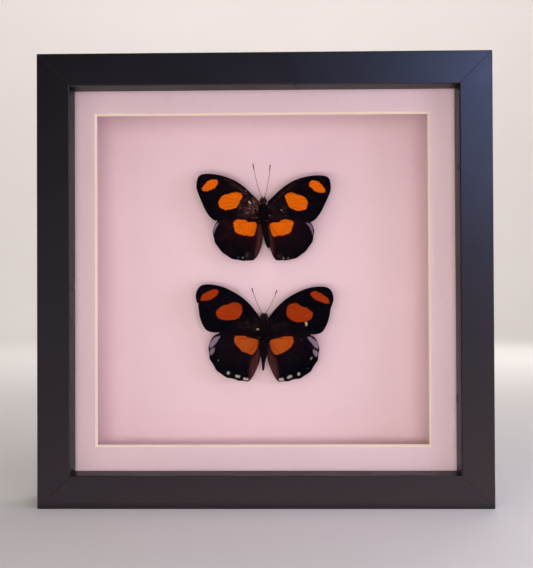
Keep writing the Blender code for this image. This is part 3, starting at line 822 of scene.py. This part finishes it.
class FRAMED_OT_glazing(bpy.types.Operator):
    """Finish the pane, the mat, the strips and board behind it, and the blocks"""

    bl_idname = "framed_butterflies.make_glazing"
    bl_label = "Glass, mat and lining"

    def execute(self, context):
        settings = context.scene.framed_frame
        finish_cad("glass_pane", float_glass())
        finish_cad("mat_board", paper("paper_faced_mat_board", settings.mat, settings.core))
        finish_cad("backing_board", paper("matt_liner_paper", settings.liner))
        strip = paper("white_faced_spacer_board", linear("#efe6e6"))
        for side in ("top", "bottom", "left", "right"):
            finish_cad(f"spacer_{side}", strip)
        foam = closed_cell_foam()
        for label in BODIES:
            finish_cad(f"{label}_block", foam, 0.25 * MM)
        return {"FINISHED"}


class FRAMED_OT_back(bpy.types.Operator):
    """Finish the hardboard back, its steel points and hanger, and dome the rivets"""

    bl_idname = "framed_butterflies.make_back"
    bl_label = "Back, points and hanger"

    DOME_STEPS = 7
    SIDES = 32
    DOME = 1 * MM
    SHANK = 0.46  # share of the rivet's radius, as the seat's is
    SEAT = 0.94
    RIM = 0.14  # share of the dome's height that stands upright at its edge

    def execute(self, context):
        finish_cad("back_panel", hardboard(), 0.2 * MM)
        steel = plated_metal("zinc_plated_steel", linear("#b9bcc0"), 0.34)
        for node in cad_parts:
            if node.startswith("point_"):
                finish_cad(node, steel, 0.12 * MM)
        finish_cad("hanger_plate", steel, 0.12 * MM)
        brass = plated_metal("brass_plated_rivet", linear("#c8a867"), 0.28)
        for side in (LEFT, RIGHT):
            self.make_rivet(side, brass)
        return {"FINISHED"}

    def make_rivet(self, side, brass):
        """Spin half a rivet's outline about its own middle line: shank, flat seat and dome."""
        node = f"hanger_rivet_{side}"
        low, high = (Vector(corner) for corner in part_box(node))
        middle = (low + high) / 2
        radius = (high.x - low.x) / 2
        seat = high.y - self.DOME
        shank = radius * self.SHANK
        outline = [(0, low.y), (shank * 0.8, low.y), (shank, low.y + 0.2 * MM), (shank, seat)]
        outline.append((radius * self.SEAT, seat))
        for step in range(self.DOME_STEPS + 1):
            angle = math.pi / 2 * step / self.DOME_STEPS
            rise = self.RIM + (1 - self.RIM) * math.sin(angle)
            outline.append((radius * math.cos(angle), seat + self.DOME * rise))
        corners = [Vector((middle.x + out, depth, middle.z)) for out, depth in outline]
        rivet = spun(f"domed_rivet_{side}", corners, middle, (0, 1, 0), self.SIDES)
        smooth(rivet, 35)
        keep(rivet, brass, "steel", node)


# --------------------------------------------------------------------------- wings

LAYERS = ("spot", "patch", "maroon", "umber", "lilac", "pearl", "fleck", "smudge", "worn", "vein",
          "rim")
FAR = 50  # millimetres: a marking that a wing doesn't have


def through(points, steps, closed):
    """A smooth line through the points (Catmull-Rom), as an array."""
    knots = np.array(points, dtype=float)
    if closed:
        around = np.vstack([knots[-1:], knots, knots[:2]])
    else:
        around = np.vstack([2 * knots[:1] - knots[1:2], knots, 2 * knots[-1:] - knots[-2:-1]])
    share = np.linspace(0, 1, steps, endpoint=False)[:, None]
    found = []
    for before, start, end, after in zip(around, around[1:], around[2:], around[3:]):
        bend = 2 * before - 5 * start + 4 * end - after
        twist = -before + 3 * start - 3 * end + after
        found.append(start + 0.5 * ((end - before) * share + bend * share ** 2 + twist * share ** 3))
    if not closed:
        found.append(knots[-1:])
    return np.vstack(found)


def distance_to_line(places, line):
    """Distance from each place to the nearest point of a line."""
    nearest = np.full(len(places), np.inf)
    for begin, step in zip(line[:-1], np.diff(line, axis=0)):
        length = max(step @ step, 1e-12)
        share = np.clip((places - begin) @ step / length, 0, 1)
        gap = places - begin - share[:, None] * step
        nearest = np.minimum(nearest, np.hypot(gap[:, 0], gap[:, 1]))
    return nearest


def depth_inside(places, outline, steps=5):
    """How deep each place lies inside a smooth closed outline, negative outside it."""
    line = through(outline, steps, True)
    line = np.vstack([line, line[:1]])
    inside = np.zeros(len(places), dtype=bool)
    for (x1, y1), (x2, y2) in zip(line[:-1], line[1:]):
        crosses = (y1 > places[:, 1]) != (y2 > places[:, 1])
        level = (places[:, 1] - y1) / (y2 - y1 if y2 != y1 else 1e-12)
        inside ^= crosses & (places[:, 0] < x1 + level * (x2 - x1))
    return distance_to_line(places, line) * np.where(inside, 1, -1)


def deepest(places, outlines):
    if not outlines:
        return np.full(len(places), -float(FAR))
    return np.max([depth_inside(places, outline) for outline in outlines], axis=0)


def deepest_round(places, rounds):
    if not rounds:
        return np.full(len(places), -float(FAR))
    return np.max([r - np.hypot(places[:, 0] - x, places[:, 1] - y) for x, y, r in rounds], axis=0)


def eased(value, low, high):
    share = np.clip((value - low) / (high - low), 0, 1)
    return share * share * (3 - 2 * share)


class WingGrid:
    """A wing's own grid: a fan from its root, spread over its outline."""

    HOLE = 0.015  # share of the fan left open at the root, under the body
    FIRST_SCALLOPS = (0.3, 0.42)  # shares of the way round over which the scallops deepen
    LAST_SCALLOPS = (0.72, 0.78)  # and over which they fade again
    OUTLINE_STEPS = 16
    VEIN_POINTS = 16
    CELL_POINTS = 12
    CELL_BOW = 0.05  # share by which the cell's front edge and its bar bow
    CELL_SAG = 0.04  # and its hind edge

    def __init__(self, wing, side, scallop):
        self.wing = wing
        line = through(wing["outline"][side], self.OUTLINE_STEPS, False)
        gone = np.concatenate([[0], np.cumsum(np.hypot(*np.diff(line, axis=0).T))])
        self.shares = gone / gone[-1]
        self.line = line
        self.root = np.array(wing["root"])
        self.scallop = scallop

    def margin(self, around):
        found = np.stack([np.interp(around, self.shares, self.line[:, n]) for n in (0, 1)], 1)
        if self.scallop:
            ends = np.array([vein[-1] for vein in self.wing["veins"]])
            bay = np.interp(around, ends, np.arange(len(ends)), left=0, right=0)
            pull = self.scallop * np.abs(np.sin(math.pi * bay))
            pull *= eased(around, *self.FIRST_SCALLOPS)
            pull *= 1 - eased(around, *self.LAST_SCALLOPS)
            inwards = self.root - found
            found = found + inwards / np.hypot(*inwards.T)[:, None] * pull[:, None]
        return found

    def place(self, around, out):
        around = np.atleast_1d(around)
        out = self.HOLE + (1 - self.HOLE) * np.atleast_1d(out)
        return self.root + (self.margin(around) - self.root) * out[:, None]

    def veins(self):
        """Every vein as a line, the edges of the cell among them."""
        found = []
        for start, out, end in self.wing["veins"]:
            share = np.linspace(0, 1, self.VEIN_POINTS)
            around = start + (end - start) * np.sin(share * math.pi / 2)
            found.append(self.place(around, out + (1 - out) * share))
        (above, above_out), (below, below_out) = self.wing["cell"]
        share = np.linspace(0, 1, self.CELL_POINTS)
        bow = np.sin(share * math.pi)
        found.append(self.place(above - self.CELL_BOW * bow, above_out * share))
        found.append(self.place(below + self.CELL_SAG * bow, below_out * share))
        bar = above_out + (below_out - above_out) * share - self.CELL_BOW * bow
        found.append(self.place(above + (below - above) * share, bar))
        return found


class FRAMED_OT_wings(bpy.types.Operator):
    """Model the eight wings, with their veins, scales and markings"""

    bl_idname = "framed_butterflies.make_wings"
    bl_label = "Wings"

    AROUND = 160
    ACROSS = 80
    SCALLOPS = {("upper", "hindwing"): 0.35, ("lower", "hindwing"): 0.55}
    MAROON_REACH = 3.4  # millimetres from a spot over which the maroon fades
    FOREWING_MAROON = 0.15
    VEIN_WIDTH = 0.3  # millimetres
    SAG = 0.12  # millimetres that the membrane sinks between two veins
    CAMBER = 0.35  # millimetres that a wing's middle stands forward
    RIPPLE = 0.45  # millimetres in and out of a wing's waves, at its edge
    RIPPLE_LONG = 7  # millimetres

    def execute(self, context):
        settings = context.scene.framed_insects
        scales = {
            "upper": wing_scales(
                "fresh_wing_scales", settings.bright, settings.bright, linear("#040308"),
                linear("#2e0910"),
            ),
            "lower": wing_scales(
                "faded_wing_scales", settings.rust, settings.patch, linear("#040308"),
                linear("#1a0610"),
            ),
        }
        for (label, pair), wing in WINGS.items():
            for side in (LEFT, RIGHT):
                grid = WingGrid(wing, side, self.SCALLOPS.get((label, pair), 0))
                self.make_wing(label, pair, side, wing, grid, scales[label], settings)
        return {"FINISHED"}

    def make_wing(self, label, pair, side, wing, grid, material, settings):
        node = f"{label}_{pair}_{side}"
        deselect_all()
        bpy.ops.mesh.primitive_grid_add(
            x_subdivisions=self.AROUND, y_subdivisions=self.ACROSS, size=1
        )
        thing = named(f"scaled_{node}")
        flat = vertices_of(thing)
        around = flat[:, 0] + 0.5
        out = flat[:, 1] + 0.5
        places = grid.place(around, out)
        vein = np.min([distance_to_line(places, line) for line in grid.veins()], axis=0)
        rim = distance_to_line(places, grid.margin(np.linspace(0, 1, 400)))
        layers = self.layers(places, wing, side, vein, rim)
        for name, values in layers.items():
            made = thing.data.attributes.new(name, "FLOAT", "POINT")
            made.data.foreach_set("value", np.ascontiguousarray(values, dtype=np.float32))
        rise = self.relief(node, places, around, out, vein, settings)
        set_vertices(thing, self.stand(node, label, side, wing, places, rise))
        if side == LEFT:
            thing.data.flip_normals()
        apply_modifier(thing, "SOLIDIFY", thickness=settings.wing_thick, offset=0)
        smooth(thing)
        keep(thing, material, "wing_scales", node)

    def layers(self, places, wing, side, vein, rim):
        """Each marking's depth in millimetres, or its share from 0 to 1, at every place."""
        spot = deepest(places, wing["spots"])
        hind = "umber" in wing
        return {
            "spot": spot,
            "patch": np.full(len(places), 1.0 if hind else 0.0),
            "maroon": np.exp(np.minimum(spot, 0) / self.MAROON_REACH)
            * (1 if hind else self.FOREWING_MAROON),
            "umber": deepest(places, (wing["umber"][side],) if hind else ()),
            "lilac": deepest(places, wing.get("lilac", ())),
            "pearl": deepest_round(places, wing.get("pearls", ())),
            "fleck": deepest_round(places, wing["flecks"][side]),
            "smudge": deepest_round(places, wing.get("smudge", {}).get(side, ())),
            "worn": self.wear(places, wing["worn"], wing["wear"][side]),
            "vein": vein,
            "rim": rim,
        }

    def wear(self, places, outlines, shares):
        """How worn each place is, from 0 to 1."""
        return sum(
            share * eased(depth_inside(places, outline), -1.5, 1.2)
            for outline, share in zip(outlines, shares)
        )

    def relief(self, node, places, around, out, vein, settings):
        """How far each place stands in front of the wing's plane."""
        ridge = settings.vein_rise / MM * np.exp(-((vein / self.VEIN_WIDTH) ** 2))
        sag = -self.SAG * eased(vein, 0, 1.8)
        camber = self.CAMBER * np.sin(math.pi * np.clip(out, 0, 1))
        seed = sum(ord(letter) for letter in node)
        ripple = np.array([
            noise.noise(Vector((x / self.RIPPLE_LONG, y / self.RIPPLE_LONG, seed * 0.37)))
            for x, y in places
        ])
        return ridge + sag + camber + self.RIPPLE * ripple * out ** 1.5

    def stand(self, node, label, side, wing, places, rise):
        """Wing places as points of the world, in metres."""
        outward = OUTWARD[side]
        middle = middle_of(f"{label}_block")
        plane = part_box(node)[1][1] - CAD_WING_THICK / 2
        drop = math.radians(wing["drop"]) if side == RIGHT else 0
        turn = (
            Matrix.Translation((middle.x, plane, middle.z))
            @ Matrix.Rotation(-outward * DIHEDRAL, 4, "Z")
            @ Matrix.Rotation(drop, 4, "Y")
        )
        local = np.stack([outward * places[:, 0], -rise, places[:, 1]], 1) * MM
        spin = np.array(turn.to_3x3())
        return local @ spin.T + np.array(turn.translation)


# --------------------------------------------------------------------------- bodies


def swept(name, path, radius, rings, sides, oval=1):
    """A closed round form along a path, made from a sphere whose rings move to their places."""
    deselect_all()
    bpy.ops.mesh.primitive_uv_sphere_add(segments=sides, ring_count=rings, radius=1)
    thing = named(name)
    found = vertices_of(thing)
    share = np.arccos(np.clip(found[:, 2], -1, 1)) / math.pi
    turn = np.arctan2(found[:, 1], found[:, 0])
    pole = np.hypot(found[:, 0], found[:, 1]) < 1e-6
    step = 1e-4
    middle = np.array([path(s) for s in share])
    ahead = np.array([path(min(1, s + step)) for s in share])
    behind = np.array([path(max(0, s - step)) for s in share])
    heading = ahead - behind
    heading /= np.linalg.norm(heading, axis=1)[:, None]
    across = np.cross(heading, (0, -1, 0))
    across /= np.linalg.norm(across, axis=1)[:, None]
    front = np.cross(heading, across)
    wide = np.where(pole, 0, [radius(s) for s in share])
    places = middle + across * (wide * np.cos(turn))[:, None]
    places += front * (wide * oval * np.sin(turn))[:, None]
    set_vertices(thing, places)
    tidy_mesh(thing, 0.0001 * MM)
    return thing


def joined_pair(name, first, second):
    """Two pieces as one smooth one."""
    make_active(first)
    second.select_set(True)
    bpy.ops.object.join()
    joined = named(name)
    smooth(joined)
    return joined


class InsectBody:
    """Where a body lies, and how thick it is, along its length."""

    def __init__(self, label):
        self.shape = BODIES[label]
        middle = middle_of(f"{label}_block")
        low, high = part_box(f"{label}_body")
        self.middle = Vector((middle.x, (low[1] + high[1]) / 2, middle.z))
        self.length = (self.shape["top"] - self.shape["tip"]) * MM
        self.shares, self.sizes = zip(*BODY_PROFILES[label])

    def path(self, share):
        past = max(0, share - WAIST) / (1 - WAIST)
        droop = ABDOMEN_DROOP * past ** 1.5
        return (
            self.middle.x + self.shape["bend"] * MM * past,
            self.middle.y + droop,
            self.middle.z + self.shape["top"] * MM - share * self.length,
        )

    def radius(self, share):
        size = np.interp(share, self.shares, self.sizes)
        if share > WAIST + 0.03:
            ring = (share - WAIST) / (1 - WAIST) * ABDOMEN_RINGS
            size *= 1 - RING_PINCH * abs(math.cos(math.pi * ring)) ** 6
        return size * THORAX_RADIUS * MM


class FRAMED_OT_bodies(bpy.types.Operator):
    """Model the two bodies, with their eyes, palps and antennae"""

    bl_idname = "framed_butterflies.make_bodies"
    bl_label = "Bodies and antennae"

    RINGS = 96
    SIDES = 28
    STALK = 0.15 * MM
    CLUB = 0.38 * MM
    CLUB_START = 0.8
    JOINTS = 34
    EYE_AT = 0.062  # shares of the body's length from the head
    PALP_AT = 0.03
    EYE_RADIUS = 0.78 * MM
    PALP_RADIUS = 0.34 * MM

    def execute(self, context):
        skin = chitin("dark_cuticle", linear("#050408"), linear("#0f080c"), 0.7, 0.04)
        eye = chitin("compound_eye", linear("#120a08"), linear("#3a241b"), 0.3, 0.4)
        horn = chitin("antenna_cuticle", linear("#43221f"), linear("#7a4b43"), 0.5, 0.2)
        for label in BODIES:
            insect = InsectBody(label)
            body = swept(f"segmented_{label}_body", insect.path, insect.radius, self.RINGS, self.SIDES)
            smooth(body)
            keep(body, skin, "body_fur", f"{label}_body")
            self.make_eyes(label, insect, eye)
            self.make_palps(label, insect, skin)
            for side in (LEFT, RIGHT):
                self.make_antenna(label, side, insect, horn)
        return {"FINISHED"}

    def make_eyes(self, label, insect, material):
        """Two bulging eyes on the sides of the head."""
        eyes = []
        for side in (LEFT, RIGHT):
            head = Vector(insect.path(self.EYE_AT))
            outward = OUTWARD[side]
            low = head + Vector((outward * 0.75 * MM, -0.1 * MM, -0.75 * MM))
            high = head + Vector((outward * 0.95 * MM, -0.1 * MM, 0.85 * MM))
            eyes.append(swept(
                f"{label}_eye_{side}",
                lambda share, high=high, low=low: tuple(high.lerp(low, share)),
                lambda share: self.EYE_RADIUS * math.sin(math.pi * min(1, max(0, share))) ** 0.6,
                16, 16,
            ))
        keep(joined_pair(f"compound_eyes_{label}", *eyes), material, "chitin")

    def make_palps(self, label, insect, material):
        """Two short palps that stand forward from the head."""
        long = insect.shape["palps"] * MM
        palps = []
        for side in (LEFT, RIGHT):
            foot = Vector(insect.path(self.PALP_AT)) + Vector((OUTWARD[side] * 0.42 * MM, 0, 0))
            tip = foot + Vector((OUTWARD[side] * 0.28 * MM, -0.3 * MM, long + 0.5 * MM))
            palps.append(swept(
                f"{label}_palp_{side}",
                lambda share, foot=foot, tip=tip: tuple(foot.lerp(tip, share)),
                lambda share: (
                    self.PALP_RADIUS * math.sin(math.pi * min(1, share + 0.12)) ** 0.7 + 0.02 * MM
                ),
                14, 12,
            ))
        keep(joined_pair(f"palps_{label}", *palps), material, "body_fur")

    def make_antenna(self, label, side, insect, material):
        """A jointed stalk that bows outwards and ends in a club."""
        outward = OUTWARD[side]
        across, up = insect.shape["tips"][side]
        foot = Vector((
            insect.middle.x + outward * 0.6 * MM, insect.middle.y - 0.2 * MM,
            insect.middle.z + (insect.shape["top"] - 0.7) * MM,
        ))
        tip = Vector((
            insect.middle.x + across * MM, insect.middle.y - 1 * MM, insect.middle.z + up * MM
        ))

        def path(share):
            bow = math.sin(math.pi * share) * outward * 0.5 * MM
            return tuple(foot.lerp(tip, share) + Vector((bow, 0, 0)))

        def radius(share):
            swell = math.sin(math.pi * max(0, share - self.CLUB_START) / (1.08 - self.CLUB_START))
            thick = self.STALK + (self.CLUB - self.STALK) * swell
            joint = 1 - 0.2 * abs(math.cos(math.pi * share * self.JOINTS)) ** 4
            end = min(1, (1 - share) / 0.012) ** 0.5
            return thick * joint * max(end, 0.02)

        node = f"{label}_antenna_{side}"
        stalk = swept(f"jointed_{node}", path, radius, self.JOINTS * 5, 10)
        smooth(stalk)
        keep(stalk, material, "chitin", node)


class FRAMED_OT_hair(bpy.types.Operator):
    """Clothe the two bodies in short hair"""

    bl_idname = "framed_butterflies.make_hair"
    bl_label = "Body hair"

    THICK = 0.05 * MM
    CORNERS = 7  # of one hair: two rings of three, and its tip
    ROOTED = 0.97  # share of the body's radius at which a hair starts
    SPLAY = 0.75
    SCATTER = 0.22
    LENGTHS = (0.55, 1.05)
    DROOP = 0.25

    def execute(self, context):
        settings = context.scene.framed_insects
        coat = fur("body_hair", linear("#050409"), linear("#140c0f"), linear("#50302c"))
        for number, label in enumerate(BODIES):
            self.make_coat(label, np.random.default_rng(number + 5), settings, coat)
        return {"FINISHED"}

    def make_coat(self, label, draw, settings, material):
        """One joined mesh of tapered three-sided hairs, rooted on the body."""
        insect = InsectBody(label)
        corners = []
        faces = []
        warmth = []
        for _ in range(settings.hairs):
            share = self.pick(draw)
            turn = draw.uniform(-math.pi, math.pi)
            outward = Vector((math.cos(turn), math.sin(turn), 0))
            root = Vector(insect.path(share)) + outward * insect.radius(share) * self.ROOTED
            lean = self.lean(share)
            jitter = Vector(draw.normal(0, self.SCATTER, 3))
            aim = (outward * self.SPLAY + Vector((0, 0, lean)) + jitter).normalized()
            long = settings.hair_long * self.length(share) * draw.uniform(*self.LENGTHS)
            droop = Vector((0, 0, -self.DROOP * math.copysign(1, -lean))) * long * 0.5
            self.add_hair(corners, faces, root, aim, long, droop)
            warmth += [self.warm(share) * draw.uniform(0.2, 1)] * self.CORNERS
        mesh = bpy.data.meshes.new(f"body_hair_{label}")
        mesh.from_pydata(corners, [], faces)
        layer = mesh.attributes.new("warm", "FLOAT", "POINT")
        layer.data.foreach_set("value", np.array(warmth, dtype=np.float32))
        thing = bpy.data.objects.new(f"body_hair_{label}", mesh)
        bpy.context.scene.collection.objects.link(thing)
        smooth(thing)
        keep(thing, material, "body_fur")

    def pick(self, draw):
        """A share of the body's length: most hairs are on the thorax and head."""
        kind = draw.uniform()
        if kind < 0.55:
            return draw.uniform(0.12, 0.46)
        if kind < 0.8:
            return draw.uniform(0.01, 0.12)
        return draw.uniform(0.46, 0.97)

    def warm(self, share):
        """The head is browner than the rest, and so are a few hairs on the abdomen."""
        if share < 0.12:
            return 1
        return 0.45 if share > 0.5 else 0.12

    def lean(self, share):
        return 0.9 if share < 0.11 else -0.75

    def length(self, share):
        if share < 0.11:
            return 0.8
        if share < 0.5:
            return 1
        return 0.32

    def add_hair(self, corners, faces, root, aim, long, droop):
        side = aim.cross(Vector((0.3, 1, 0.2))).normalized() * self.THICK
        rise = aim.cross(side).normalized() * self.THICK
        first = len(corners)
        for share, thick in ((0, 1), (0.5, 0.75)):
            middle = root + aim * long * share + droop * share ** 2
            for turn in range(3):
                angle = math.tau * turn / 3
                corners.append(middle + (side * math.cos(angle) + rise * math.sin(angle)) * thick)
        corners.append(root + aim * long + droop)
        tip = first + 6
        faces.append((first + 2, first + 1, first))
        for turn in range(3):
            after = (turn + 1) % 3
            faces.append((first + turn, first + after, first + 3 + after, first + 3 + turn))
            faces.append((first + 3 + turn, first + 3 + after, tip))


# --------------------------------------------------------------------------- the stage


class FRAMED_OT_stage(bpy.types.Operator):
    """Set up the pale floor, the lights, the world and the camera"""

    bl_idname = "framed_butterflies.make_stage"
    bl_label = "Stage"

    EYE = Vector((10.19, -522.34, 117.23)) * MM
    YAW = math.radians(-1.035)
    PITCH = math.radians(0.629)
    ROLL = math.radians(-0.236)
    LENS = 58.005
    FRONT_PART = -0.03
    WALL_RADIUS = 2.6
    WALL_BEND = 0.7
    WALL_HEIGHT = 2.4
    BEND_STEPS = 12
    SWEEP_STEPS = 96

    def execute(self, context):
        self.make_camera(context)
        self.make_lights(context)
        self.make_world(context)
        self.make_floor(context)
        context.scene.view_settings.view_transform = "Standard"
        return {"FINISHED"}

    def make_camera(self, context):
        camera = bpy.data.objects.new("camera", bpy.data.cameras.new("camera"))
        context.scene.collection.objects.link(camera)
        camera.data.lens = self.LENS
        camera.data.clip_start = 0.01
        camera.location = self.EYE
        upright = Matrix.Rotation(math.pi / 2 + self.PITCH, 4, "X")
        turn = Matrix.Rotation(-self.YAW, 4, "Z") @ upright @ Matrix.Rotation(self.ROLL, 4, "Z")
        camera.rotation_euler = turn.to_euler()
        context.scene.camera = camera

    def make_lights(self, context):
        for name, (place, target, (wide, tall), power, code, (matt, shiny)) in LIGHTS.items():
            lamp = bpy.data.lights.new(name, "AREA")
            lamp.shape = "RECTANGLE"
            lamp.size = wide
            lamp.size_y = tall
            lamp.energy = power
            lamp.color = linear(code)
            thing = bpy.data.objects.new(name, lamp)
            context.scene.collection.objects.link(thing)
            thing.location = place
            thing.rotation_euler = (Vector(target) - Vector(place)).to_track_quat("-Z", "Y").to_euler()
            thing.visible_camera = False
            thing.visible_diffuse = matt
            thing.visible_glossy = shiny
            thing.visible_transmission = shiny

    def make_world(self, context):
        """Even light from all round. In glossy surfaces the room is darker towards its ceiling."""
        world = bpy.data.worlds.new("studio")
        context.scene.world = world
        world.use_nodes = True
        tree = world.node_tree
        tree.nodes.clear()
        heading = add(tree, "TexCoord").outputs["Generated"]
        parts = add(tree, "SeparateXYZ", {"Vector": heading}).outputs
        height = add(
            tree, "Math", (parts["X"], ROOM_LEAN, parts["Z"]), operation="MULTIPLY_ADD"
        )
        room = opaque(linear(ROOM[0][1]))
        for (low, _), (high, code) in zip(ROOM, ROOM[1:]):
            share = add(tree, "MapRange", (height, low, high), interpolation_type="SMOOTHSTEP")
            room = add(
                tree, "Mix", {MIX_FACTOR: share, MIX_A: room, MIX_B: opaque(linear(code))},
                data_type="RGBA",
            )
        reflected = add(tree, "Background", {"Color": room, "Strength": ROOM_STRENGTH})
        sky = add(tree, "Background", {"Color": opaque(linear("#f8f6fa")), "Strength": AMBIENT})
        path = add(tree, "LightPath").outputs
        shiny = add(
            tree, "Math", (path["Is Glossy Ray"], path["Is Transmission Ray"]), operation="MAXIMUM"
        )
        seen = add(tree, "MixShader", (shiny, sky, reflected))
        add(tree, "OutputWorld", {"Surface": seen})

    def make_floor(self, context):
        """A pale floor that sweeps up all round. Its front part doesn't show in reflections."""
        outline = [(0, 0), (self.WALL_RADIUS - self.WALL_BEND, 0)]
        for step in range(1, self.BEND_STEPS + 1):
            angle = math.pi / 2 * step / self.BEND_STEPS
            outline.append((
                self.WALL_RADIUS - self.WALL_BEND + self.WALL_BEND * math.sin(angle),
                self.WALL_BEND * (1 - math.cos(angle)),
            ))
        outline.append((self.WALL_RADIUS, self.WALL_HEIGHT))
        corners = [Vector((out, 0, up)) for out, up in outline]
        sweep = spun("studio_sweep", corners, (0, 0, 0), (0, 0, 1), self.SWEEP_STEPS)
        bpy.ops.object.mode_set(mode="EDIT")
        bpy.ops.mesh.select_all(action="SELECT")
        bpy.ops.mesh.bisect(plane_co=(0, self.FRONT_PART, 0), plane_no=(0, 1, 0))
        bpy.ops.mesh.select_all(action="DESELECT")
        bpy.ops.object.mode_set(mode="OBJECT")
        for face in sweep.data.polygons:
            face.select = face.center.y < self.FRONT_PART
        bpy.ops.object.mode_set(mode="EDIT")
        bpy.ops.mesh.separate(type="SELECTED")
        bpy.ops.object.mode_set(mode="OBJECT")
        front = next(thing for thing in context.selected_objects if thing is not sweep)
        front.name = "studio_sweep_front"
        front.visible_glossy = False
        front.visible_transmission = False
        pale = self.studio_paper()
        for thing in (sweep, front):
            smooth(thing, 40)
            dress(thing, pale)
            thing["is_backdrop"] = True
        deselect_all()

    def studio_paper(self):
        """Seamless background paper: pale and matt."""
        made, tree = new_material("seamless_background_paper")
        place = add(tree, "TexCoord").outputs["Object"]
        cloud = add(tree, "TexNoise", {"Vector": place, "Scale": 3, "Detail": 2})
        colour = add(
            tree, "Mix",
            {MIX_FACTOR: cloud, MIX_A: opaque(linear("#dedad8")), MIX_B: opaque(linear("#e3e0de"))},
            data_type="RGBA",
        )
        return shade(made, {"Base Color": colour, "Roughness": 0.95, "Specular IOR Level": 0.1})


# --------------------------------------------------------------------------- the add-on


class FRAMED_PT_panel(bpy.types.Panel):
    """Lists the pieces in the sidebar"""

    bl_label = "Framed butterflies"
    bl_idname = "FRAMED_PT_panel"
    bl_space_type = "VIEW_3D"
    bl_region_type = "UI"
    bl_category = "Butterflies"

    def draw(self, context):
        for group in (context.scene.framed_frame, context.scene.framed_insects):
            box = self.layout.box()
            for name in group.__annotations__:
                box.prop(group, name)
        for operator in OPERATORS:
            self.layout.operator(operator.bl_idname)


GROUPS = {"framed_frame": FrameSettings, "framed_insects": InsectSettings}
OPERATORS = (
    FRAMED_OT_rails, FRAMED_OT_glazing, FRAMED_OT_back, FRAMED_OT_wings, FRAMED_OT_bodies,
    FRAMED_OT_hair, FRAMED_OT_stage,
)


def register():
    for made in (*GROUPS.values(), *OPERATORS, FRAMED_PT_panel):
        bpy.utils.register_class(made)
    for name, group in GROUPS.items():
        setattr(bpy.types.Scene, name, PointerProperty(type=group))


def unregister():
    for name in GROUPS:
        delattr(bpy.types.Scene, name)
    for made in (FRAMED_PT_panel, *OPERATORS, *GROUPS.values()):
        bpy.utils.unregister_class(made)


def main():
    register()
    bpy.ops.framed_butterflies.make_rails()
    bpy.ops.framed_butterflies.make_glazing()
    bpy.ops.framed_butterflies.make_back()
    bpy.ops.framed_butterflies.make_wings()
    bpy.ops.framed_butterflies.make_bodies()
    bpy.ops.framed_butterflies.make_hair()
    bpy.ops.framed_butterflies.make_stage()


if __name__ == "__main__":
    main()
